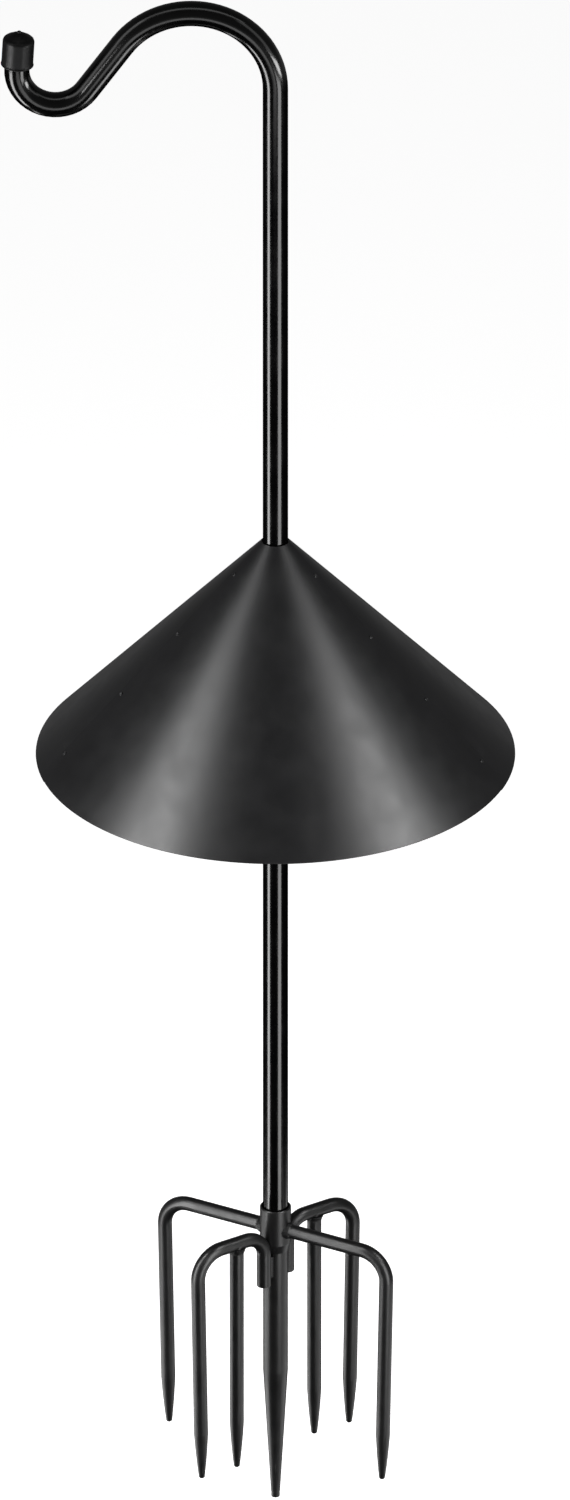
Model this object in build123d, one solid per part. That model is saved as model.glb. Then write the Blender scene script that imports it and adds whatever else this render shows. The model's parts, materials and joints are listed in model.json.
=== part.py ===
from build123d import *
import math
import os

# Garden feeder pole with a crook at the top, a cone baffle part way up and a forked ground base.
# Millimetres. The origin is on the pole's axis at soil level, +Z is up, the crook reaches towards -X.

# Overall heights above the soil
SPIKE_TIP_Z = -415.0
TOP_Z = 1921.8

# Pole tube, in three sections that plug into each other
POLE_R = 17.5
POLE_BORE_R = 16.0
SPIGOT_R = POLE_BORE_R - 0.05
SPIGOT_BORE_R = 14.5
SPIGOT_LENGTH = 60.0
LEAD_IN_LENGTH = 1.5
LEAD_IN_DEPTH = 0.7
NECK_START = 6.0
NECK_END = 3.0
JOINT_CHAMFER = 0.8
POLE_FOOT_Z = -5.0
LOWER_JOINT_Z = 600.0
UPPER_JOINT_Z = 1057.0

# Crook: an arch, a straight slope and a throat that curls up again
ARCH_R = 116.0
ARCH_SWEEP = 144.7
SLOPE_LENGTH = 85.5
THROAT_R = 52.9
THROAT_SWEEP = 148.0
HOOK_END_LENGTH = 44.5
ARCH_CENTRE_Z = TOP_Z - ARCH_R - POLE_R

# Rubber cap on the end of the crook
CAP_R = 22.8
CAP_GRIP = 38.5
CAP_SHOULDER = 3.5
CAP_DOME = 8.0
CAP_MOUTH_ROUND = 1.5
CAP_SHOULDER_ROUND = 5.0
CAP_NUB_R = 3.0
CAP_NUB_HEIGHT = 2.0

# Cone baffle of two lapped sheets
SHEET = 0.8
RIM_R = 332.0
RIM_Z = 756.6
APEX_Z = 1108.0
OPENING_R = 20.0
HEM_WIDTH = 7.0
LAP_WIDTH = 16.0
LAP_GAP = 0.15
LEFT_SEAM_ANGLE = 192.0
RIGHT_SEAM_ANGLE = 343.5
CONE_HALF_ANGLE = math.atan(RIM_R / (APEX_Z - RIM_Z))
WEDGE_MARGIN = 50.0
LAP_DROP = (SHEET + LAP_GAP) / math.sin(CONE_HALF_ANGLE)

# Small screws and nuts along the seams
SEAM_SCREW_RADII = (60.0, 140.0, 220.0, 300.0)
SCREW_R = 1.5
SCREW_HOLE_R = 1.6
SCREW_LENGTH = 6.0
SCREW_HEAD_R = 2.9
SCREW_HEAD_HEIGHT = 1.3
SCREW_CROWN_R = 2.0
SCREW_SKIRT = 0.5
THREAD_GAP = 0.05
SEAM_NUT_FLATS = 5.5
SEAM_NUT_HEIGHT = 2.4
SEAM_NUT_GAP = 0.12

# Split clamp under the cone
CLAMP_BORE_R = POLE_R + 0.05
STRAP = 2.5
EAR_GAP = 4.0
EAR_REACH = 53.0
CLAMP_BOTTOM_Z = 1017.0
CLAMP_TOP_Z = 1051.0
CLAMP_CLEARANCE = 0.3
BOLT_X = 40.0
BOLT_Z = 1031.0
BOLT_R = 3.0
BOLT_HOLE_R = 3.3
BOLT_LENGTH = 21.0
BOLT_HEAD_FLATS = 10.0
BOLT_HEAD_HEIGHT = 4.0
BOLT_CHAMFER = 0.7
WASHER_R = 6.2
WASHER = 1.2
WING_HUB_R = 5.5
WING_HUB_TOP_R = 4.3
WING_HUB_HEIGHT = 6.5
WING_SPAN = 15.0
WING_HEIGHT = 12.0
WING_THICKNESS = 2.2
WING_ROUND = 1.8

# Ground base: collar, centre spike and six side prongs
COLLAR_R = 21.7
COLLAR_TOP_Z = 44.0
COLLAR_SHOULDER_Z = -10.0
COLLAR_BOTTOM_Z = -23.0
COLLAR_FOOT_R = 18.5
COLLAR_BORE_R = POLE_R + 0.05
COLLAR_LEAD_IN = 1.6
SPIKE_R = 17.4
SPIKE_WALL = 1.5
SPIKE_TAPER_Z = -213.0
SPIKE_POINT_R = 6.4
NOSE_LENGTH = 9.0
NOSE_R = 6.0
NOSE_ROUND = 1.8
PLUG_DEPTH = 14.0

ROD_R = 9.9
ROD_WALL = 2.0
PRONG_TIP_Z = -341.5
PRONG_TAPER = 70.0
PRONG_TIP_R = 4.2
POINT_SWELL = 1.0
OUTER_BEND_R = 39.0
INNER_BEND_R = 30.0
PRONG_TOE_IN = 1.2
LONG_PRONG_REACH = 178.0
LONG_PRONG_ANGLE = 150.3
ARM_REACH = 138.5
ARM_ANGLE = 218.6
ARM_FOOT_REACH = 28.3
ARM_FOOT_ANGLE = 235.0
ARM_FOOT_Z = -69.0
MID_PRONG_REACH = 74.0
ARM_Z = ROD_R

# Fillet welds
ROOT_WELD_SINK = 6.0
ROOT_WELD_REACH = 5.5
ROOT_WELD_FLARE = 4.6
TEE_WELD = 3.6
TEE_WELD_DEPTH = 9.4
BEAD_R = 4.0
BEAD_REACH = 19.3
BEAD_OFFSET = 5.5
BEAD_BOTTOM_Z = -58.0
BEAD_TOP_Z = -26.0

ON_FLOOR = (Align.CENTER, Align.CENTER, Align.MIN)

os.makedirs("parts", exist_ok=True)


def save(node, shape):
    """Write one sub-part."""
    export_step(shape, f"parts/{node}.step")


def polar(reach, angle, height):
    """Point at a plan distance and a compass angle in degrees from the pole's axis."""
    turn = math.radians(angle)
    return Vector(reach * math.cos(turn), reach * math.sin(turn), height)


def turned(*outline):
    """Solid of revolution about Z from (radius, height) points."""
    return revolve(Plane.XZ * make_face(Polyline(*outline, close=True)), Axis.Z)


def rod_along(path, radius):
    """Round bar that follows a path."""
    start = Plane(origin=path @ 0, z_dir=path % 0)
    return sweep(start * Circle(radius), path=path)


def upright_rod(radius, x, y, bottom, top):
    """Vertical round bar."""
    return Pos(x, y, (bottom + top) / 2) * Cylinder(radius, top - bottom)


# Pole sections --------------------------------------------------------------------------------

def pole_section(foot_z, joint_z):
    """Straight tube whose top is necked down to plug into the next section."""
    neck_z = joint_z + SPIGOT_LENGTH
    return turned(
        (POLE_BORE_R, foot_z),
        (POLE_R - JOINT_CHAMFER, foot_z),
        (POLE_R, foot_z + JOINT_CHAMFER),
        (POLE_R, joint_z - JOINT_CHAMFER),
        (POLE_R - JOINT_CHAMFER, joint_z),
        (SPIGOT_R, joint_z),
        (SPIGOT_R, neck_z - LEAD_IN_LENGTH),
        (SPIGOT_R - LEAD_IN_DEPTH, neck_z),
        (SPIGOT_BORE_R, neck_z),
        (SPIGOT_BORE_R, joint_z - NECK_END),
        (POLE_BORE_R, joint_z - NECK_START),
    )


def hook_route():
    """Centre line of the top section, from its foot up the shaft and round the crook."""
    shaft = Line((0, UPPER_JOINT_Z), (0, ARCH_CENTRE_Z))
    arch = JernArc(shaft @ 1, shaft % 1, ARCH_R, ARCH_SWEEP)
    slope = Line(arch @ 1, arch @ 1 + (arch % 1) * SLOPE_LENGTH)
    throat = JernArc(slope @ 1, slope % 1, THROAT_R, -THROAT_SWEEP)
    end = Line(throat @ 1, throat @ 1 + (throat % 1) * HOOK_END_LENGTH)
    return Plane.XZ * Wire([shaft, arch, slope, throat, end])


def hook_pole(route):
    """Top section, open at its foot to take the spigot."""
    start = Plane(origin=route @ 0, z_dir=route % 0)
    tube = sweep(start * (Circle(POLE_R) - Circle(POLE_BORE_R)), path=route)
    foot_edge = tube.edges().group_by(Axis.Z)[0].sort_by(SortBy.RADIUS)[-1]
    return chamfer(foot_edge, JOINT_CHAMFER)


def hook_end_cap(route):
    """Push-on cap with a domed crown and a small moulding nub, its grip down over the tube's end."""
    shoulder_r = CAP_R - CAP_SHOULDER_ROUND
    corner = CAP_SHOULDER_ROUND * (1 - math.sqrt(0.5))
    crown_z = CAP_SHOULDER + CAP_DOME
    outline = [
        Line((POLE_R, 0), (POLE_R, -CAP_GRIP)),
        Line((POLE_R, -CAP_GRIP), (CAP_R - CAP_MOUTH_ROUND, -CAP_GRIP)),
        Line((CAP_R - CAP_MOUTH_ROUND, -CAP_GRIP), (CAP_R, CAP_MOUTH_ROUND - CAP_GRIP)),
        Line((CAP_R, CAP_MOUTH_ROUND - CAP_GRIP), (CAP_R, CAP_SHOULDER - CAP_SHOULDER_ROUND)),
        ThreePointArc(
            (CAP_R, CAP_SHOULDER - CAP_SHOULDER_ROUND),
            (CAP_R - corner, CAP_SHOULDER - corner),
            (shoulder_r, CAP_SHOULDER),
        ),
        ThreePointArc(
            (shoulder_r, CAP_SHOULDER),
            (shoulder_r / 2, CAP_SHOULDER + 0.75 * CAP_DOME),
            (0, crown_z),
        ),
        Line((0, crown_z), (0, 0)),
        Line((0, 0), (POLE_R, 0)),
    ]
    cup = revolve(Plane.XZ * make_face(outline), Axis.Z)
    nub = Pos(0, 0, crown_z) * Cylinder(CAP_NUB_R, 2 * CAP_NUB_HEIGHT)
    tube_end = Plane(origin=route @ 1, z_dir=route % 1)
    return tube_end.location * (cup + nub)


# Baffle ---------------------------------------------------------------------------------------

def cone_sheet():
    """Whole cone of sheet metal with a folded hem at the rim."""
    down = Vector(math.sin(CONE_HALF_ANGLE), -math.cos(CONE_HALF_ANGLE))
    inward = Vector(-math.cos(CONE_HALF_ANGLE), -math.sin(CONE_HALF_ANGLE))
    opening_z = APEX_Z - OPENING_R / math.tan(CONE_HALF_ANGLE)
    top = Vector(OPENING_R, opening_z)
    rim = Vector(RIM_R, RIM_Z)
    hem = rim + inward * 2 * SHEET
    hem_top = hem - down * HEM_WIDTH
    fold_nose = rim + inward * SHEET + down * SHEET
    outline = [
        Line(top, rim),
        ThreePointArc(rim, fold_nose, hem),
        Line(hem, hem_top),
        Line(hem_top, hem_top - inward * SHEET),
        Line(hem_top - inward * SHEET, top + inward * SHEET),
        Line(top + inward * SHEET, top),
    ]
    return revolve(Plane.XZ * make_face(outline), Axis.Z)


def front_wedge(shift):
    """Block that holds everything between the two seams, moved towards the front by a lap."""
    left = polar(2 * RIM_R, LEFT_SEAM_ANGLE, 0)
    right = polar(2 * RIM_R, RIGHT_SEAM_ANGLE, 0)
    middle_angle = (LEFT_SEAM_ANGLE + RIGHT_SEAM_ANGLE) / 2
    half_spread = math.radians(RIGHT_SEAM_ANGLE - middle_angle)
    front = polar(3 * RIM_R, middle_angle, 0)
    plan = make_face(Polyline((0, 0), left, left + front, right + front, right, close=True))
    block = Pos(0, 0, RIM_Z - WEDGE_MARGIN) * extrude(plan, APEX_Z - RIM_Z + 2 * WEDGE_MARGIN)
    return Pos(polar(shift / math.sin(half_spread), middle_angle, 0)) * block


def seam_planes(seam_angle, side):
    """Screw places along a seam: origins on the outer face, +Z out of the sheet."""
    places = []
    for radius in SEAM_SCREW_RADII:
        spot = polar(radius, seam_angle, 0) + polar(LAP_WIDTH / 2, seam_angle + 90 * side, 0)
        height = APEX_Z - spot.length / math.tan(CONE_HALF_ANGLE)
        level = spot.normalized() * math.cos(CONE_HALF_ANGLE)
        normal = level + Vector(0, 0, math.sin(CONE_HALF_ANGLE))
        places.append(Plane(origin=spot + Vector(0, 0, height), z_dir=normal))
    return places


def seam_screw():
    """Pan head machine screw, its head on the sheet at z = 0."""
    return turned(
        (0, -SCREW_LENGTH),
        (SCREW_R, -SCREW_LENGTH),
        (SCREW_R, 0),
        (SCREW_HEAD_R, 0),
        (SCREW_HEAD_R, SCREW_SKIRT),
        (SCREW_CROWN_R, SCREW_HEAD_HEIGHT),
        (0, SCREW_HEAD_HEIGHT),
    )


def seam_nut():
    """Hexagon nut that bears on the inner sheet."""
    top = -(2 * SHEET + LAP_GAP + SEAM_NUT_GAP)
    hexagon = RegularPolygon(SEAM_NUT_FLATS / 2, 6, major_radius=False) - Circle(SCREW_R + THREAD_GAP)
    return Pos(0, 0, top) * extrude(hexagon, -SEAM_NUT_HEIGHT)


def baffle():
    """Both panels with their screw holes, and the fasteners of each seam."""
    seams = {
        "left": seam_planes(LEFT_SEAM_ANGLE, 1),
        "right": seam_planes(RIGHT_SEAM_ANGLE, -1),
    }
    sheet = cone_sheet()
    front = sheet & front_wedge(0)
    rear = Pos(0, 0, -LAP_DROP) * sheet - front_wedge(LAP_WIDTH)
    drill = Cylinder(SCREW_HOLE_R, 8 * SHEET)
    for place in seams["left"] + seams["right"]:
        front -= place.location * drill
        rear -= place.location * drill
    save("baffle_front_panel", front)
    save("baffle_rear_panel", rear)
    for side, places in seams.items():
        save(f"{side}_seam_screws", Compound([place.location * seam_screw() for place in places]))
        save(f"{side}_seam_nuts", Compound([place.location * seam_nut() for place in places]))


# Clamp ----------------------------------------------------------------------------------------

def clamp_front_half():
    """Half strap with an ear each side, its outer corners cut to the slope of the cone."""
    half_room = Pos(0, -(EAR_GAP / 2 + POLE_R)) * Rectangle(4 * POLE_R, 2 * POLE_R)
    strap = Circle(CLAMP_BORE_R + STRAP) & half_room
    ears = Pos(0, -(EAR_GAP + STRAP) / 2) * Rectangle(2 * EAR_REACH, STRAP)
    plan = strap + ears - Circle(CLAMP_BORE_R)
    half = Pos(0, 0, CLAMP_BOTTOM_Z) * extrude(plan, CLAMP_TOP_Z - CLAMP_BOTTOM_Z)
    for x in (-BOLT_X, BOLT_X):
        half -= Pos(x, 0, BOLT_Z) * Rot(90, 0, 0) * Cylinder(BOLT_HOLE_R, 4 * EAR_GAP)
    drop = LAP_DROP + (SHEET + CLAMP_CLEARANCE) / math.sin(CONE_HALF_ANGLE)
    room_top = APEX_Z - drop
    room = turned((0, RIM_Z), ((room_top - RIM_Z) * math.tan(CONE_HALF_ANGLE), RIM_Z), (0, room_top))
    return half & room


def clamp_bolt():
    """Hexagon bolt, the underside of its head at z = 0, its shank along +Z."""
    head = extrude(RegularPolygon(BOLT_HEAD_FLATS / 2, 6, major_radius=False), -BOLT_HEAD_HEIGHT)
    shank = Pos(0, 0, BOLT_LENGTH / 2) * Cylinder(BOLT_R, BOLT_LENGTH)
    return head + chamfer(shank.edges().filter_by(GeomType.CIRCLE).sort_by(Axis.Z)[-1], BOLT_CHAMFER)


def clamp_washer():
    """Plain washer, z = 0 to its thickness."""
    return extrude(Circle(WASHER_R) - Circle(BOLT_HOLE_R), WASHER)


def clamp_wing_nut():
    """Wing nut, its bearing face at z = 0."""
    hub = Cone(WING_HUB_R, WING_HUB_TOP_R, WING_HUB_HEIGHT, align=ON_FLOOR)
    wing = Polygon(
        (0, 1.0),
        (WING_SPAN - 4.0, 3.0),
        (WING_SPAN, WING_HEIGHT - 2.0),
        (WING_SPAN - 5.0, WING_HEIGHT),
        (4.0, WING_HUB_HEIGHT),
        (0, WING_HUB_HEIGHT - 1.0),
        align=None,
    )
    wing = fillet(wing.vertices().sort_by(Axis.X)[-3:], WING_ROUND)
    plate = extrude(Plane.XZ * wing, WING_THICKNESS / 2, both=True)
    bore = Pos(0, 0, WING_HEIGHT / 2) * Cylinder(BOLT_R + THREAD_GAP, 2 * WING_HEIGHT)
    return hub + plate + Rot(0, 0, 180) * plate - bore


def clamp():
    """Both halves and the pair of bolts, washers and wing nuts."""
    front = clamp_front_half()
    save("clamp_front_half", front)
    save("clamp_rear_half", mirror(front, Plane.XZ))
    ear_face = EAR_GAP / 2 + STRAP
    bolts = []
    washers = []
    nuts = []
    for x in (-BOLT_X, BOLT_X):
        bolts.append(Plane(origin=(x, -ear_face, BOLT_Z), z_dir=(0, 1, 0)).location * clamp_bolt())
        washers.append(Plane(origin=(x, ear_face, BOLT_Z), z_dir=(0, 1, 0)).location * clamp_washer())
        nut_face = Plane(origin=(x, ear_face + WASHER, BOLT_Z), x_dir=(0, 0, 1), z_dir=(0, 1, 0))
        nuts.append(nut_face.location * clamp_wing_nut())
    save("clamp_bolts", Compound(bolts))
    save("clamp_washers", Compound(washers))
    save("clamp_wing_nuts", Compound(nuts))


# Ground base ----------------------------------------------------------------------------------

def socket_collar():
    """Thick sleeve: the pole stands in its upper bore and the spike tube is in its lower one."""
    return turned(
        (SPIKE_R, COLLAR_BOTTOM_Z),
        (COLLAR_FOOT_R, COLLAR_BOTTOM_Z),
        (COLLAR_R, COLLAR_SHOULDER_Z),
        (COLLAR_R, COLLAR_TOP_Z - 1.0),
        (COLLAR_R - 1.0, COLLAR_TOP_Z),
        (COLLAR_BORE_R + COLLAR_LEAD_IN, COLLAR_TOP_Z),
        (COLLAR_BORE_R, COLLAR_TOP_Z - 2 * COLLAR_LEAD_IN),
        (COLLAR_BORE_R, POLE_FOOT_Z),
        (SPIKE_R, POLE_FOOT_Z),
    )


def spike_tube():
    """Centre tube, drawn down to a narrow open end."""
    point_z = SPIKE_TIP_Z + NOSE_LENGTH
    return turned(
        (SPIKE_R - SPIKE_WALL, POLE_FOOT_Z),
        (SPIKE_R, POLE_FOOT_Z),
        (SPIKE_R, SPIKE_TAPER_Z),
        (SPIKE_POINT_R, point_z),
        (SPIKE_POINT_R - SPIKE_WALL, point_z),
        (SPIKE_R - SPIKE_WALL, SPIKE_TAPER_Z),
    )


def spike_tip():
    """Solid nose with a stem that fills the open end of the spike tube."""
    point_z = SPIKE_TIP_Z + NOSE_LENGTH
    taper = (SPIKE_R - SPIKE_POINT_R) / (SPIKE_TAPER_Z - point_z)
    stem_r = SPIKE_POINT_R - SPIKE_WALL
    stem = turned(
        (0, point_z),
        (stem_r, point_z),
        (stem_r + PLUG_DEPTH * taper, point_z + PLUG_DEPTH),
        (0, point_z + PLUG_DEPTH),
    )
    nose = Pos(0, 0, SPIKE_TIP_Z + NOSE_LENGTH / 2) * Cylinder(NOSE_R, NOSE_LENGTH)
    return fillet(nose.edges().filter_by(GeomType.CIRCLE).sort_by(Axis.Z)[0], NOSE_ROUND) + stem


def hammered_point(radius, tip_radius, length):
    """Slightly swollen taper from z = 0 to a blunt rounded tip at z = length."""
    blunt = tip_radius / 3
    swell = ((radius + tip_radius) / 2 + POINT_SWELL, length / 2)
    outline = [
        Line((0, 0), (radius, 0)),
        Bezier((radius, 0), swell, (tip_radius, length - blunt)),
        Line((tip_radius, length - blunt), (tip_radius - blunt, length)),
        Line((tip_radius - blunt, length), (0, length)),
        Line((0, length), (0, 0)),
    ]
    return revolve(Plane.XZ * make_face(outline), Axis.Z)


def prong(points, bend_radii, cut_away):
    """Hollow bent prong that ends in a hammered point, coped to what it is welded to."""
    route = FilletPolyline(*points, radius=bend_radii) if bend_radii else Line(*points)
    shoulder = Plane(origin=route @ 1, z_dir=route % 1).location
    bore_r = ROD_R - ROD_WALL
    outside = rod_along(route, ROD_R) + shoulder * hammered_point(ROD_R, PRONG_TIP_R, PRONG_TAPER)
    inside = rod_along(route, bore_r) + shoulder * hammered_point(bore_r, PRONG_TIP_R, PRONG_TAPER / 2)
    return outside - inside - cut_away


def elbow_and_shoulder(reach, angle):
    """Corner of a bent prong and the place where its point starts, leaning in towards the spike."""
    shoulder_z = PRONG_TIP_Z + PRONG_TAPER
    toe_in = (ARM_Z - shoulder_z) * math.tan(math.radians(PRONG_TOE_IN))
    return [polar(reach, angle, ARM_Z), polar(reach - toe_in, angle, shoulder_z)]


def long_prong(angle, hub):
    """Side prong straight out from the collar, then bent down."""
    root = polar(COLLAR_R - 4.0, angle, ARM_Z)
    return prong([root, *elbow_and_shoulder(LONG_PRONG_REACH, angle)], [OUTER_BEND_R], hub)


def arm_level(turn):
    """Corners of an arm's level stretch, from above its foot to its outer elbow."""
    return [
        polar(ARM_FOOT_REACH, ARM_FOOT_ANGLE + turn, ARM_Z),
        polar(ARM_REACH, ARM_ANGLE + turn, ARM_Z),
    ]


def arm(turn, hub):
    """Arm whose inner end turns down beside the spike tube and whose outer end is a prong."""
    foot = polar(ARM_FOOT_REACH, ARM_FOOT_ANGLE + turn, ARM_FOOT_Z)
    over_foot = arm_level(turn)[0]
    points = [foot, over_foot, *elbow_and_shoulder(ARM_REACH, ARM_ANGLE + turn)]
    return prong(points, [INNER_BEND_R, OUTER_BEND_R], hub)


def mid_prong_top(turn):
    """Where a mid prong's axis meets the axis of its arm."""
    inner, outer = arm_level(turn)
    along = (outer - inner).normalized()
    return inner + along * (MID_PRONG_REACH - ARM_FOOT_REACH)


def mid_prong(turn, bar):
    """Straight prong welded under an arm."""
    top = mid_prong_top(turn)
    shoulder = Vector(top.X, top.Y, PRONG_TIP_Z + PRONG_TAPER)
    return prong([top, shoulder], [], bar)


def root_weld(angle, hub):
    """Flared fillet round the root of a long prong."""
    axis = polar(1, angle, 0)
    root = Plane(origin=polar(COLLAR_R - ROOT_WELD_SINK, angle, ARM_Z), z_dir=axis)
    flare_length = ROOT_WELD_SINK + ROOT_WELD_REACH
    flare = Cone(ROD_R + ROOT_WELD_FLARE, ROD_R, flare_length, align=ON_FLOOR)
    core = Cylinder(ROD_R, 4 * flare_length)
    return root.location * (flare - core) - hub


def tee_weld(turn, bar):
    """Flared fillet round the top of a mid prong."""
    place = Pos(mid_prong_top(turn) - Vector(0, 0, ROD_R))
    sleeve = Cylinder(ROD_R, 4 * TEE_WELD_DEPTH)
    flare = Cone(ROD_R, ROD_R + TEE_WELD, TEE_WELD_DEPTH) - sleeve
    return place * flare - bar


def arm_beads(turn, hub):
    """Pair of upright weld beads in the grooves between an arm's inner end and the spike tube."""
    angle = ARM_FOOT_ANGLE + turn
    foot = polar(ARM_FOOT_REACH, angle, 0)
    leg = upright_rod(ROD_R, foot.X, foot.Y, ARM_FOOT_Z, 0)
    beads = []
    for side in (-1, 1):
        spot = polar(BEAD_REACH, angle, 0) + polar(BEAD_OFFSET, angle + 90 * side, 0)
        bead = upright_rod(BEAD_R, spot.X, spot.Y, BEAD_BOTTOM_Z, BEAD_TOP_Z)
        beads.append(bead - hub - leg)
    return beads


def ground_base():
    """Collar, spike, six prongs and the welds that join them."""
    collar = socket_collar()
    tube = spike_tube()
    save("socket_collar", collar)
    save("spike_tube", tube)
    save("spike_tip", spike_tip())

    socket_fill = upright_rod(COLLAR_BORE_R, 0, 0, POLE_FOOT_Z, COLLAR_TOP_Z)
    hub = collar + socket_fill + upright_rod(SPIKE_R, 0, 0, ARM_FOOT_Z, POLE_FOOT_Z)
    opposite = LONG_PRONG_ANGLE + 180
    save("rear_left_prong", long_prong(LONG_PRONG_ANGLE, hub))
    save("front_right_prong", long_prong(opposite, hub))
    save("collar_welds", Compound([root_weld(angle, hub) for angle in (LONG_PRONG_ANGLE, opposite)]))

    beads = []
    tees = []
    for side, turn in (("front_left", 0), ("rear_right", 180)):
        bar = rod_along(Line(*arm_level(turn)), ROD_R)
        save(f"{side}_arm", arm(turn, hub))
        save(f"{side}_mid_prong", mid_prong(turn, bar))
        beads += arm_beads(turn, hub)
        tees.append(tee_weld(turn, bar))
    save("arm_welds", Compound(beads))
    save("prong_welds", Compound(tees))


hook_line = hook_route()
save("hook_pole", hook_pole(hook_line))
save("hook_end_cap", hook_end_cap(hook_line))
save("middle_pole", pole_section(LOWER_JOINT_Z, UPPER_JOINT_Z))
save("lower_pole", pole_section(POLE_FOOT_Z, LOWER_JOINT_Z))
baffle()
clamp()
ground_base()
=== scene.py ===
import json
import math

import bmesh
import bpy
import numpy as np
from mathutils import Matrix, Vector, noise
from mathutils.kdtree import KDTree

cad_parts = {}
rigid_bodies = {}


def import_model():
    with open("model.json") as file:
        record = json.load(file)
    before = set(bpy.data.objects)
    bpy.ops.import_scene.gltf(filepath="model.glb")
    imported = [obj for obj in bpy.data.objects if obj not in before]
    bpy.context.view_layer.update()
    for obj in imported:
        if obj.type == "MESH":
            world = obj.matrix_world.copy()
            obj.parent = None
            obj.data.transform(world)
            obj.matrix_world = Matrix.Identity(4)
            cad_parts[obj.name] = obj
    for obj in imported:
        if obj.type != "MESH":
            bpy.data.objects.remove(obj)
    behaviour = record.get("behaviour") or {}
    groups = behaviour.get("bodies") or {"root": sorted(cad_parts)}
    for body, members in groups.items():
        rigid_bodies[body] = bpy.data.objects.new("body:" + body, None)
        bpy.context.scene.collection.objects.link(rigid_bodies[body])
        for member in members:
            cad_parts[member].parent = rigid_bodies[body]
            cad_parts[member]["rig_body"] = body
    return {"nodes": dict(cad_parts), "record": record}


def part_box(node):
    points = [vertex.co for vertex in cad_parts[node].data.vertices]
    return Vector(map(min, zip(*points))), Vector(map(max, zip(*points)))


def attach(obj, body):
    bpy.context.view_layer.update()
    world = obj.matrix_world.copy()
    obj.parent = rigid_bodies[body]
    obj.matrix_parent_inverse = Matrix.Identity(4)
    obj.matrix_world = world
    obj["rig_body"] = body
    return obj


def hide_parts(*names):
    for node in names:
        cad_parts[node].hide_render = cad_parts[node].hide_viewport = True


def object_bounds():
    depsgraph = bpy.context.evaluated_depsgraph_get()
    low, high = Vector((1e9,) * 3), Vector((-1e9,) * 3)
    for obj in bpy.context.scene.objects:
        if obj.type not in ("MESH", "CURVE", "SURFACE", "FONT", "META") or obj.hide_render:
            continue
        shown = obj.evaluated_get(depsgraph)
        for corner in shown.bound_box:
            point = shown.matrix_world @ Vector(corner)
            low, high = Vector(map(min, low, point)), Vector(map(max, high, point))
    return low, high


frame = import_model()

CAD_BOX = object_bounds()
NODES = frame["nodes"]
BODY_OF = {node: obj["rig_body"] for node, obj in NODES.items()}
MM = 0.001


# Materials ------------------------------------------------------------------------------------

class Shader:
    """Small helper round one material's node tree."""

    def __init__(self, name):
        self.material = bpy.data.materials.new(name)
        self.material.use_nodes = True
        self.tree = self.material.node_tree
        self.surface = self.tree.nodes["Principled BSDF"]
        self.coords = self.tree.nodes.new("ShaderNodeTexCoord").outputs["Object"]

    def node(self, kind, **settings):
        made = self.tree.nodes.new(kind)
        for key, value in settings.items():
            if key in made.inputs:
                made.inputs[key].default_value = value
            else:
                setattr(made, key, value)
        return made

    def link(self, source, target):
        self.tree.links.new(source, target)

    def noise(self, scale, detail=2.0, roughness=0.5, stretch=None):
        """Noise in object space, its scale in features per metre."""
        texture = self.node("ShaderNodeTexNoise", Scale=scale, Detail=detail, Roughness=roughness)
        source = self.coords
        if stretch is not None:
            mapping = self.node("ShaderNodeMapping")
            mapping.inputs["Scale"].default_value = stretch
            self.link(source, mapping.inputs["Vector"])
            source = mapping.outputs["Vector"]
        self.link(source, texture.inputs["Vector"])
        return texture.outputs["Fac"]

    def ranged(self, source, low, high, from_low=0.3, from_high=0.7):
        """A texture's middle range mapped to low..high."""
        mapped = self.node("ShaderNodeMapRange")
        for key, value in zip(
            ("From Min", "From Max", "To Min", "To Max"), (from_low, from_high, low, high)
        ):
            mapped.inputs[key].default_value = value
        self.link(source, mapped.inputs["Value"])
        return mapped.outputs["Result"]

    def blend(self, factor, first, second):
        """Colour mix; first and second are colours or sockets."""
        mix = self.node("ShaderNodeMix", data_type="RGBA")
        self.link(factor, mix.inputs[0])
        for socket, value in ((mix.inputs[6], first), (mix.inputs[7], second)):
            if isinstance(value, bpy.types.NodeSocket):
                self.link(value, socket)
            else:
                socket.default_value = (*value, 1.0)
        return mix.outputs[2]

    def maths(self, operation, first, second):
        made = self.node("ShaderNodeMath", operation=operation)
        for socket, value in zip(made.inputs, (first, second)):
            if isinstance(value, bpy.types.NodeSocket):
                self.link(value, socket)
            else:
                socket.default_value = value
        return made.outputs[0]

    def bump(self, height, distance, below=None):
        made = self.node("ShaderNodeBump", Strength=1.0, Distance=distance)
        self.link(height, made.inputs["Height"])
        if below is not None:
            self.link(below, made.inputs["Normal"])
        return made.outputs["Normal"]

    def edges(self, radius, low, high):
        """0 on flats, 1 along edges, from how far a rounded normal leaves the true one."""
        rounded = self.node("ShaderNodeBevel", samples=4, Radius=radius)
        true = self.node("ShaderNodeNewGeometry").outputs["Normal"]
        dot = self.node("ShaderNodeVectorMath", operation="DOT_PRODUCT")
        self.link(rounded.outputs["Normal"], dot.inputs[0])
        self.link(true, dot.inputs[1])
        bend = self.maths("SUBTRACT", 1.0, dot.outputs["Value"])
        return self.ranged(bend, 0.0, 1.0, low, high)


def shades(colour, *factors):
    """Darker and lighter versions of a colour."""
    return [tuple(factor * c for c in colour) for factor in factors]


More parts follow.
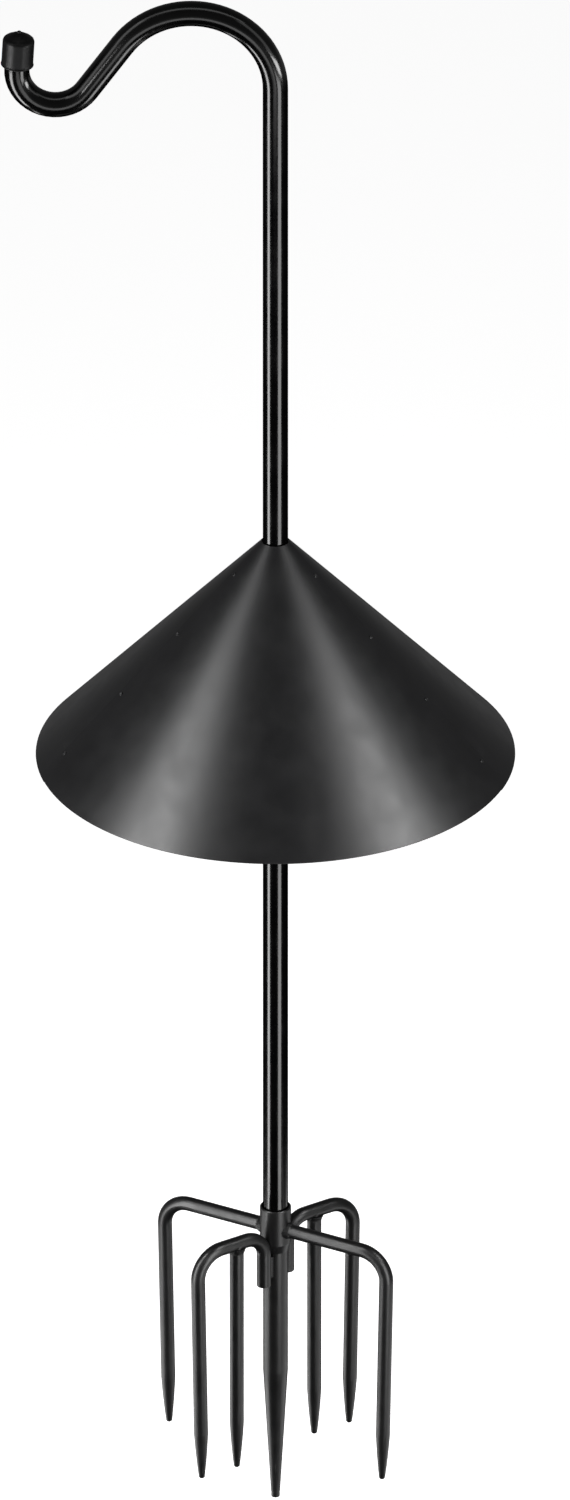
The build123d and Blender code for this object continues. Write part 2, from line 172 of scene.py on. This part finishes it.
def coated_metal(name, base, worn, roughness, peel_scale, peel_depth, grain_depth, wear):
    """Powder-coated steel: mottled black, orange peel, fine grain and rubbed edges."""
    s = Shader(name)
    deep, light, bright = shades(base, 0.82, 1.22, 1.7)
    mottle = s.noise(9.0, 4.0)
    speck = s.noise(1400.0, 1.0)
    colour = s.blend(s.ranged(mottle, 0.0, 1.0), deep, light)
    colour = s.blend(s.ranged(speck, 0.0, 0.35, 0.55, 0.8), colour, bright)
    patches = s.ranged(s.noise(160.0, 3.0), 0.0, wear)
    rub = s.maths("MULTIPLY", s.edges(0.5 * MM, 0.08, 0.4), patches)
    colour = s.blend(rub, colour, worn)
    s.link(colour, s.surface.inputs["Base Color"])
    rough = s.ranged(s.noise(26.0, 5.0), roughness - 0.03, roughness + 0.04)
    s.link(s.maths("ADD", rough, s.maths("MULTIPLY", rub, 0.12)), s.surface.inputs["Roughness"])
    peel = s.bump(s.noise(peel_scale, 2.0, 0.55), peel_depth)
    s.link(s.bump(s.noise(2600.0, 1.0), grain_depth, peel), s.surface.inputs["Normal"])
    return s.material


SCUFFED_Z, CLEAN_Z = -0.40, -0.22
ROD_STRETCH = (1.0, 1.0, 0.35)
SCRATCH_STRETCH = (1.0, 1.0, 0.08)


def ground_coat(name, base, worn, roughness):
    """The base's coat: semi-gloss black, uneven along the rods, scuffed towards the points."""
    s = Shader(name)
    colour = s.blend(s.ranged(s.noise(14.0, 5.0), 0.0, 1.0), *shades(base, 0.75, 1.3))
    height = s.node("ShaderNodeSeparateXYZ")
    s.link(s.coords, height.inputs[0])
    low = s.ranged(height.outputs["Z"], 1.0, 0.0, SCUFFED_Z, CLEAN_Z)
    scratches = s.ranged(s.noise(420.0, 4.0, 0.7, SCRATCH_STRETCH), 0.0, 1.0, 0.58, 0.75)
    scuff = s.maths("MULTIPLY", s.maths("MULTIPLY", low, scratches), 0.5)
    patches = s.ranged(s.noise(140.0, 3.0), 0.0, 0.7)
    edge = s.maths("MULTIPLY", s.edges(0.6 * MM, 0.06, 0.4), patches)
    rub = s.maths("MAXIMUM", scuff, edge)
    s.link(s.blend(rub, colour, worn), s.surface.inputs["Base Color"])
    rough = s.ranged(s.noise(40.0, 5.0), roughness - 0.05, roughness + 0.05)
    s.link(s.maths("ADD", rough, s.maths("MULTIPLY", rub, 0.2)), s.surface.inputs["Roughness"])
    uneven = s.bump(s.noise(55.0, 2.0, 0.5, ROD_STRETCH), 0.22 * MM)
    peel = s.bump(s.noise(480.0, 2.0), 0.035 * MM, uneven)
    s.link(s.bump(s.noise(2200.0, 1.0), 0.012 * MM, peel), s.surface.inputs["Normal"])
    return s.material


def rubber(name, base):
    """Satin dipped rubber: faint mould texture, dusty mottling."""
    s = Shader(name)
    deep, light, dusty = shades(base, 0.8, 1.35, 2.6)
    colour = s.blend(s.ranged(s.noise(60.0, 5.0), 0.0, 1.0), deep, light)
    dust = s.ranged(s.noise(900.0, 3.0, 0.7), 0.0, 0.25, 0.55, 0.8)
    s.link(s.blend(dust, colour, dusty), s.surface.inputs["Base Color"])
    s.link(s.ranged(s.noise(120.0, 4.0), 0.40, 0.50), s.surface.inputs["Roughness"])
    s.surface.inputs["Specular IOR Level"].default_value = 0.22
    wave = s.bump(s.noise(85.0, 2.0), 0.18 * MM)
    s.link(s.bump(s.noise(1500.0, 2.0), 0.02 * MM, wave), s.surface.inputs["Normal"])
    return s.material


def bare_metal(name, base, tint, roughness, metallic):
    """Plated or oxidised steel: clouded colour, fine grain, brighter rubbed edges."""
    s = Shader(name)
    s.surface.inputs["Metallic"].default_value = metallic
    colour = s.blend(s.ranged(s.noise(180.0, 5.0), 0.0, 1.0), base, tint)
    bright = tuple(min(1.0, 1.35 * c) for c in base)
    s.link(s.blend(s.edges(0.3 * MM, 0.05, 0.4), colour, bright), s.surface.inputs["Base Color"])
    rough = s.ranged(s.noise(350.0, 4.0), roughness - 0.06, roughness + 0.1)
    s.link(rough, s.surface.inputs["Roughness"])
    s.link(s.bump(s.noise(1800.0, 3.0, 0.6), 0.01 * MM), s.surface.inputs["Normal"])
    return s.material


FINISH = {
    "gloss_black": coated_metal(
        "gloss_black_paint",
        base=(0.0004, 0.0004, 0.00044),
        worn=(0.03, 0.03, 0.03),
        roughness=0.16,
        peel_scale=330.0,
        peel_depth=0.0012 * MM,
        grain_depth=0.0001 * MM,
        wear=0.4,
    ),
    "satin_black": coated_metal(
        "satin_black_paint",
        base=(0.0033, 0.0033, 0.0037),
        worn=(0.04, 0.04, 0.04),
        roughness=0.375,
        peel_scale=420.0,
        peel_depth=0.016 * MM,
        grain_depth=0.008 * MM,
        wear=0.5,
    ),
    "powder_black": ground_coat(
        "ground_base_coat",
        base=(0.0024, 0.0024, 0.0025),
        worn=(0.05, 0.05, 0.05),
        roughness=0.36,
    ),
    "black_screws": bare_metal(
        "black_oxide_screws",
        base=(0.0060, 0.0060, 0.0065),
        tint=(0.0035, 0.0035, 0.0038),
        roughness=0.36,
        metallic=0.0,
    ),
    "black_rubber": rubber("dipped_rubber", base=(0.0018, 0.0018, 0.0019)),
    "zinc_steel": bare_metal(
        "zinc_plate",
        base=(0.55, 0.56, 0.58),
        tint=(0.42, 0.43, 0.46),
        roughness=0.30,
        metallic=1.0,
    ),
}

for subpart in frame["record"]["subparts"]:
    for material_slot in NODES[subpart["node"]].material_slots:
        material_slot.material = FINISH[subpart["material_slot"]]


# Mesh tools -----------------------------------------------------------------------------------

SHARP_ANGLE = math.radians(40)
SAME_POINT = 1e-6


def linked(name, data):
    """A new object, linked into the scene."""
    obj = bpy.data.objects.new(name, data)
    bpy.context.scene.collection.objects.link(obj)
    return obj


def stand_for(obj, node):
    """Lets an object take a CAD node's place, and ride on its body."""
    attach(obj, BODY_OF[node])
    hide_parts(node)


def new_piece(name, verts, faces, node, slot_name):
    """A smooth mesh that stands for a CAD node and rides on its body."""
    mesh = bpy.data.meshes.new(name)
    mesh.from_pydata([tuple(v) for v in verts], [], faces)
    mesh.validate()
    made = bmesh.new()
    made.from_mesh(mesh)
    bmesh.ops.remove_doubles(made, verts=made.verts, dist=1e-7)
    bmesh.ops.recalc_face_normals(made, faces=made.faces)
    made.to_mesh(mesh)
    made.free()
    mesh.shade_smooth()
    mesh.set_sharp_from_angle(angle=SHARP_ANGLE)
    mesh.materials.append(FINISH[slot_name])
    stand_for(linked(name, mesh), node)


def islands(node):
    """Vertex coordinates of each separate shell of a CAD node, in the same order each run."""
    mesh = bmesh.new()
    mesh.from_mesh(NODES[node].data)
    bmesh.ops.remove_doubles(mesh, verts=mesh.verts, dist=SAME_POINT)
    left, found = set(mesh.verts), []
    while left:
        stack = [left.pop()]
        shell = list(stack)
        while stack:
            for edge in stack.pop().link_edges:
                for vert in edge.verts:
                    if vert in left:
                        left.remove(vert)
                        stack.append(vert)
                        shell.append(vert)
        found.append(np.array(sorted(v.co[:] for v in shell)))
    mesh.free()
    return sorted(found, key=lambda points: tuple(np.round(points.mean(0), 4)))


def frame_of(axis):
    """Rotation that turns +Z to an axis."""
    return Vector((0, 0, 1)).rotation_difference(Vector(axis)).to_matrix()


def lathe(rings, around, shape):
    """Turned surface from (radius, height) rings, where shape moves each point."""
    verts, faces = [], []
    for i, (radius, height) in enumerate(rings):
        for k in range(around):
            angle = 2 * math.pi * k / around
            r, h = shape(radius, height, angle, i)
            verts.append(Vector((r * math.cos(angle), r * math.sin(angle), h)))
    for i in range(len(rings) - 1):
        low, high = i * around, (i + 1) * around
        for k in range(around):
            n = (k + 1) % around
            faces.append((low + k, low + n, high + n, high + k))
    return verts, faces


def unit_ramp(value):
    """A value held between 0 and 1."""
    return max(0.0, min(1.0, value))


def arc_points(centre, radius, start, end, count):
    """Points (radius, height) along an arc, its angles in degrees."""
    spread = [math.radians(start + (end - start) * i / count) for i in range(count + 1)]
    return [(centre[0] + radius * math.cos(a), centre[1] + radius * math.sin(a)) for a in spread]


# Rubber cap -----------------------------------------------------------------------------------

HOOK_END_HEADING = math.radians(86.7)
CAP_AXIS = Vector((math.cos(HOOK_END_HEADING), 0, math.sin(HOOK_END_HEADING)))
CAP_SIDE = Vector((CAP_AXIS.z, 0, -CAP_AXIS.x))
CAP_BORE = 17.7 * MM
CAP_END_WALL = 13.5 * MM
CAP_BODY_INSET = 0.7 * MM
CAP_ROLL_R = 1.3 * MM
CAP_ROLL_NECK = (0.45 * MM, 2.9 * MM)
CAP_BODY_FOOT = 3.6 * MM
CAP_SHOULDER_DROP = 10.0 * MM
CAP_SHOULDER_R = 5.5 * MM
CAP_NUB_HEIGHT = 2.6 * MM
CAP_NUB = ((3.2 * MM, 0.15 * MM), (2.9 * MM, 0.5 * MM))
CAP_NUB_TIP = ((2.7 * MM, 0.5 * MM), (2.2 * MM, 0.12 * MM), (1.2 * MM, 0.0), (0.02 * MM, 0.0))
CAP_AROUND = 144
BODY_STEPS = 14
CROWN_STEP = 0.11
FOLDS = ((0.16 * MM, 6, 0.5), (0.10 * MM, 11, 1.7))
FOLD_INSET = 0.26 * MM
MOULD_LINE = 0.32 * MM
MOULD_LINE_ANGLE = 0.35
MOULD_LINE_WIDTH = 0.035


def cap_folds(r, h, angle, _):
    """Faint lengthwise folds and a mould line outside, fading at the cap's mouth and crown."""
    if r < CAP_BORE + 0.6 * MM:
        return r, h
    body = unit_ramp((h - 3.5 * MM) / (6 * MM)) * unit_ramp((r - 6 * MM) / (8 * MM))
    wave = sum(depth * math.cos(count * angle + phase) for depth, count, phase in FOLDS)
    seam = MOULD_LINE * math.exp(-(math.sin(angle - MOULD_LINE_ANGLE) / MOULD_LINE_WIDTH) ** 2)
    return r + body * (wave - FOLD_INSET + seam), h


def rubber_cap():
    """Dipped cap: rolled mouth, faint lengthwise folds, mould line, rounded shoulder and a nub."""
    points = np.array([v.co[:] for v in NODES["hook_end_cap"].data.vertices])
    along = points @ np.array(CAP_AXIS)
    across = points @ np.array(CAP_SIDE)
    bottom = along.min()
    height = along.max() - bottom
    radius = (across.max() - across.min()) / 2
    centre = (across.max() + across.min()) / 2
    body = radius - CAP_BODY_INSET
    turn_height = height - CAP_SHOULDER_DROP - CAP_SHOULDER_R
    neck_inset, neck_height = CAP_ROLL_NECK

    rings = [
        (CAP_BORE, height - CAP_END_WALL),
        (CAP_BORE, 1.0 * MM),
        (CAP_BORE + 0.5 * MM, 0.25 * MM),
    ]
    rings += arc_points((radius - CAP_ROLL_R, CAP_ROLL_R), CAP_ROLL_R, -90, 80, 7)
    rings += [(radius - neck_inset, neck_height), (body, CAP_BODY_FOOT)]
    rings += [
        (body, CAP_BODY_FOOT + (turn_height - CAP_BODY_FOOT) * i / BODY_STEPS)
        for i in range(1, BODY_STEPS + 1)
    ]
    rings += arc_points((body - CAP_SHOULDER_R, turn_height), CAP_SHOULDER_R, 6, 78, 8)
    crown_r, crown_foot = rings[-1]
    dome = height - CAP_NUB_HEIGHT - crown_foot
    rings += [
        (
            crown_r * (1 - CROWN_STEP * i),
            crown_foot + dome * math.sin(CROWN_STEP * i * math.pi / 2),
        )
        for i in range(1, 8)
    ]
    nub_foot = rings[-1][1]
    rings += [(r, nub_foot + rise) for r, rise in CAP_NUB]
    rings += [(r, height - drop) for r, drop in CAP_NUB_TIP]

    verts, faces = lathe(rings, CAP_AROUND, cap_folds)
    rotation = frame_of(CAP_AXIS)
    origin = CAP_AXIS * bottom + CAP_SIDE * centre
    placed = [origin + rotation @ v for v in verts]
    new_piece("rubber_cap", placed, faces, "hook_end_cap", "black_rubber")


rubber_cap()


# Weld beads -----------------------------------------------------------------------------------

RING_R = 13.0 * MM
VALLEY_DEPTH = 0.42 * MM
CREST_DEPTH = 0.12 * MM
SPATTER_DEPTH = 0.10 * MM
WANDER = 1.3
WANDER_SCALE = 220
SPATTER_SCALE = 700


def rippled_welds(name, node, ripple, voxel, straight=False):
    """Hand-laid weld: the CAD bead remeshed fine, with stacked ripples pressed into it."""
    mesh = bpy.data.meshes.new(name)
    build = bmesh.new()
    build.from_mesh(NODES[node].data)
    bmesh.ops.remove_doubles(build, verts=build.verts, dist=SAME_POINT)
    build.to_mesh(mesh)
    build.free()
    obj = linked(name, mesh)
    remesh = obj.modifiers.new("remesh", "REMESH")
    remesh.mode = "VOXEL"
    remesh.voxel_size = voxel
    remesh.use_smooth_shade = True
    smooth = obj.modifiers.new("smooth", "SMOOTH")
    smooth.iterations = 4
    depsgraph = bpy.context.evaluated_depsgraph_get()
    fine = bpy.data.meshes.new_from_object(obj.evaluated_get(depsgraph))
    obj.modifiers.clear()
    obj.data = fine

    shells = islands(node)
    centres = [Vector(points.mean(0)) for points in shells]
    turns = [Matrix(np.linalg.eigh(np.cov((p - p.mean(0)).T))[1]).transposed() for p in shells]
    tree = KDTree(sum(len(points) for points in shells))
    owner = [k for k, points in enumerate(shells) for _ in points]
    for index, point in enumerate(np.concatenate(shells)):
        tree.insert(point, index)
    tree.balance()

    pressed = []
    for co, normal in [(v.co.copy(), v.normal.copy()) for v in fine.vertices]:
        shell = owner[tree.find(co)[1]]
        local = turns[shell] @ (co - centres[shell])
        if straight:
            phase = local.z / ripple
        else:
            phase = math.atan2(local.z, local.y) * RING_R / ripple
        crest = abs(math.sin(math.pi * phase + WANDER * noise.noise(co * WANDER_SCALE)))
        spatter = SPATTER_DEPTH * noise.noise(co * SPATTER_SCALE)
        pressed.extend(co - normal * (VALLEY_DEPTH * (1 - crest) + CREST_DEPTH + spatter))
    fine.vertices.foreach_set("co", pressed)
    fine.update()
    fine.materials.clear()
    fine.materials.append(FINISH["powder_black"])
    fine.shade_smooth()
    stand_for(obj, node)


rippled_welds("collar_weld_beads", "collar_welds", 2.6 * MM, 0.45 * MM)
rippled_welds("arm_weld_beads", "arm_welds", 2.4 * MM, 0.4 * MM, straight=True)
rippled_welds("prong_weld_beads", "prong_welds", 2.2 * MM, 0.4 * MM)


# Seam screws ----------------------------------------------------------------------------------

CONE_TOP_R = 20.0 * MM
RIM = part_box("baffle_rear_panel")
CONE_SLOPE = math.atan2(RIM[1].x - CONE_TOP_R, RIM[1].z - RIM[0].z)

SHANK_R = 1.5 * MM
HEAD_R = 2.9 * MM
HEAD_HEIGHT = 1.3 * MM
THREAD_PITCH = 0.7 * MM
THREAD_DEPTH = 0.16 * MM
POINT_LENGTH = 0.35 * MM
STEPS_PER_PITCH = 8
SCREW_AROUND = 48
RECESS_DEPTH = 0.62 * MM
RECESS_ARM, RECESS_ARM_EDGE = 0.42 * MM, 0.14 * MM
RECESS_REACH, RECESS_END_EDGE = 1.75 * MM, 0.2 * MM
HEAD_WALL = 0.42
SPIN_STEP = 7.0
HEAD_ANGLES = (0.2, 0.4, 0.6, 0.8, 1.0, 1.15, 1.3, 1.4, 1.48, 1.53, 1.555)


def pan_head_screw(length):
    """Pan-head machine screw with a cross recess and a cut thread; its head sits above z = 0."""
    steps = int(length / THREAD_PITCH * STEPS_PER_PITCH)
    threaded = length - POINT_LENGTH
    rings = [(0.02 * MM, -length), (SHANK_R * 0.72, -length)]
    rings += [(SHANK_R, -length + POINT_LENGTH + threaded * i / steps) for i in range(steps + 1)]
    shank_rings = len(rings)
    rings += [(HEAD_R - 0.15 * MM, 0.0), (HEAD_R, 0.12 * MM), (HEAD_R, HEAD_WALL * HEAD_HEIGHT)]
    rings += [
        (HEAD_R * math.cos(a), HEAD_HEIGHT * (HEAD_WALL + (1 - HEAD_WALL) * math.sin(a)))
        for a in HEAD_ANGLES
    ]

    def cut(r, h, angle, i):
        if 2 <= i < shank_rings and h < -0.2 * MM:
            wave = 0.5 + 0.5 * math.cos(2 * math.pi * h / THREAD_PITCH - angle)
            return r - THREAD_DEPTH * wave, h
        if h > 0.6 * HEAD_HEIGHT:
            x, y = abs(r * math.cos(angle)), abs(r * math.sin(angle))
            inside = unit_ramp((RECESS_ARM - min(x, y)) / RECESS_ARM_EDGE)
            inside *= unit_ramp((RECESS_REACH - max(x, y)) / RECESS_END_EDGE)
            return r, h - inside * RECESS_DEPTH
        return r, h

    return lathe(rings, SCREW_AROUND, cut)


def seam_screws(name, node):
    """A seam's four screws, each on the CAD screw's spot and square to the cone."""
    verts, faces = [], []
    outward, upward = math.cos(CONE_SLOPE), math.sin(CONE_SLOPE)
    for points in islands(node):
        middle = points.mean(0)
        azimuth = math.atan2(middle[1], middle[0])
        axis = Vector((outward * math.cos(azimuth), outward * math.sin(azimuth), upward))
        along = points @ np.array(axis)
        head = Vector(points[along > along.max() - 0.2 * MM].mean(0))
        place = head + axis * (along.max() - head.dot(axis) - HEAD_HEIGHT)
        spin = Matrix.Rotation(SPIN_STEP * len(verts), 3, "Z")
        rotation = frame_of(axis) @ spin
        made, loops = pan_head_screw(along.max() - along.min() - HEAD_HEIGHT)
        start = len(verts)
        verts += [place + rotation @ v for v in made]
        faces += [tuple(start + k for k in loop) for loop in loops]
    new_piece(name, verts, faces, node, "black_screws")


seam_screws("left_seam_pan_screws", "left_seam_screws")
seam_screws("right_seam_pan_screws", "right_seam_screws")


# Floor, light and camera ----------------------------------------------------------------------

FLOOR_Z = CAD_BOX[0].z
FLOOR_HALF = 60.0
WHITE = (1, 1, 1, 1)

floor_mesh = bpy.data.meshes.new("studio_floor")
floor_mesh.from_pydata(
    [(x * FLOOR_HALF, y * FLOOR_HALF, FLOOR_Z) for x, y in ((-1, -1), (1, -1), (1, 1), (-1, 1))],
    [],
    [(0, 1, 2, 3)],
)
floor = linked("studio_floor", floor_mesh)
paper = Shader("studio_paper")
paper_fibre = paper.ranged(paper.noise(2.0, 3.0), 0.0, 1.0)
paper.link(
    paper.blend(paper_fibre, (0.90, 0.90, 0.90), (0.92, 0.92, 0.92)),
    paper.surface.inputs["Base Color"],
)
paper.surface.inputs["Roughness"].default_value = 0.9
paper.surface.inputs["Emission Color"].default_value = WHITE
paper.surface.inputs["Emission Strength"].default_value = 0.85
floor_mesh.materials.append(paper.material)
floor.visible_glossy = False
floor.visible_shadow = False

# (how far up, from straight down at 0 to straight up at 1; how bright)
SKY_STOPS = (
    (0.30, 0.0),
    (0.36, 0.17),
    (0.42, 0.24),
    (0.50, 0.12),
    (0.56, 0.09),
    (0.68, 0.10),
    (0.94, 0.07),
)


def studio_sky():
    """White to the camera; in light and reflections dim, brightest just below the horizon."""
    world = bpy.data.worlds.new("studio")
    bpy.context.scene.world = world
    world.use_nodes = True
    nodes, links = world.node_tree.nodes, world.node_tree.links
    nodes.clear()
    direction = nodes.new("ShaderNodeTexCoord")
    split = nodes.new("ShaderNodeSeparateXYZ")
    ramp = nodes.new("ShaderNodeValToRGB")
    shade = nodes.new("ShaderNodeBackground")
    seen = nodes.new("ShaderNodeBackground")
    path = nodes.new("ShaderNodeLightPath")
    mix = nodes.new("ShaderNodeMixShader")
    out = nodes.new("ShaderNodeOutputWorld")
    scaled = nodes.new("ShaderNodeMapRange")
    scaled.inputs["From Min"].default_value = -1.0
    links.new(direction.outputs["Generated"], split.inputs[0])
    links.new(split.outputs["Z"], scaled.inputs["Value"])
    links.new(scaled.outputs["Result"], ramp.inputs["Fac"])
    stops = ramp.color_ramp.elements
    for stop, (position, level) in zip(stops, SKY_STOPS):
        stop.position, stop.color = position, (level, level, level, 1)
    for position, level in SKY_STOPS[2:]:
        stops.new(position).color = (level, level, level, 1)
    seen.inputs["Color"].default_value = WHITE
    links.new(ramp.outputs["Color"], shade.inputs["Color"])
    links.new(path.outputs["Is Camera Ray"], mix.inputs[0])
    links.new(shade.outputs[0], mix.inputs[1])
    links.new(seen.outputs[0], mix.inputs[2])
    links.new(mix.outputs[0], out.inputs["Surface"])


studio_sky()


def softbox(name, aim, azimuth, elevation, distance, size, radiance):
    """Area light round an aim point; azimuth 0 is the camera's side, 90 the picture's right."""
    data = bpy.data.lights.new(name, "AREA")
    data.shape = "RECTANGLE"
    data.size, data.size_y = size
    data.energy = radiance * math.pi * size[0] * size[1]
    a, e = math.radians(azimuth), math.radians(elevation)
    away = Vector((math.sin(a) * math.cos(e), -math.cos(a) * math.cos(e), math.sin(e)))
    obj = linked(name, data)
    obj.location = Vector(aim) + away * distance
    obj.rotation_mode = "QUATERNION"
    obj.rotation_quaternion = away.to_track_quat("Z", "Y")
    obj.visible_camera = False


POLE_AIM = (0.0, 0.0, 0.20)
CONE_LEFT_AIM = (-0.211, -0.365, 0.655)
CONE_RIGHT_AIM = (0.211, -0.365, 0.655)
BASE_AIM = (0.0, 0.0, -0.84)
ARCH_FRONT_AIM = (-0.11, 0.0, 1.22)
ARCH_TOP_AIM = (-0.11, 0.0, 1.90)
ARCH_RIGHT_AIM = (0.0, 0.0, 1.84)
SLOPE_AIM = (-0.17, 0.0, 1.72)

# name, aim, azimuth and elevation in degrees, distance, (width, height), radiance
for light in (
    ("left_strip", POLE_AIM, -64, 0, 1.6, (0.62, 2.1), 9.6),
    ("right_strip", POLE_AIM, 38, 0, 1.6, (0.80, 2.1), 5.6),
    ("left_soft_box", CONE_LEFT_AIM, -76, 48, 1.3, (0.58, 0.5), 14.2),
    ("right_soft_box", CONE_RIGHT_AIM, 76, 48, 1.3, (0.58, 0.5), 13.8),
    ("left_low_box", BASE_AIM, -105, 0, 1.0, (1.00, 0.66), 3.0),
    ("right_low_box", BASE_AIM, 95, 0, 1.0, (1.40, 0.66), 1.4),
    ("arch_front_box", ARCH_FRONT_AIM, 0, 0, 1.6, (0.90, 0.52), 2.0),
    ("arch_top_box", ARCH_TOP_AIM, 0, 72, 0.6, (1.50, 0.14), 1.4),
    ("arch_right_box", ARCH_RIGHT_AIM, 58, 16, 0.8, (0.26, 0.85), 0.9),
    ("slope_box", SLOPE_AIM, -67, 24, 0.8, (0.22, 0.80), 1.7),
):
    softbox(*light)

VIEW_ELEVATION = math.radians(27.7)
VIEW_HEIGHT = 2.0775
SENSOR_HEIGHT = 24.0
PICTURE_WIDTH, PICTURE_HEIGHT = 570, 1500
LENS = 1000.0
AIM = Vector((13.2 * MM, 0.0, 759.2 * MM))

camera_data = bpy.data.cameras.new("camera")
camera_data.lens = LENS
camera_data.sensor_fit = "VERTICAL"
camera_data.sensor_height = SENSOR_HEIGHT
camera_data.sensor_width = SENSOR_HEIGHT * PICTURE_HEIGHT / PICTURE_WIDTH
camera_data.clip_start, camera_data.clip_end = 1.0, 400.0
camera = linked("camera", camera_data)
back = Vector((0, -math.cos(VIEW_ELEVATION), math.sin(VIEW_ELEVATION)))
camera.location = AIM + back * (VIEW_HEIGHT * LENS / SENSOR_HEIGHT)
camera.rotation_euler = (math.pi / 2 - VIEW_ELEVATION, 0, 0)
bpy.context.scene.camera = camera
bpy.context.scene.view_settings.view_transform = "Standard"
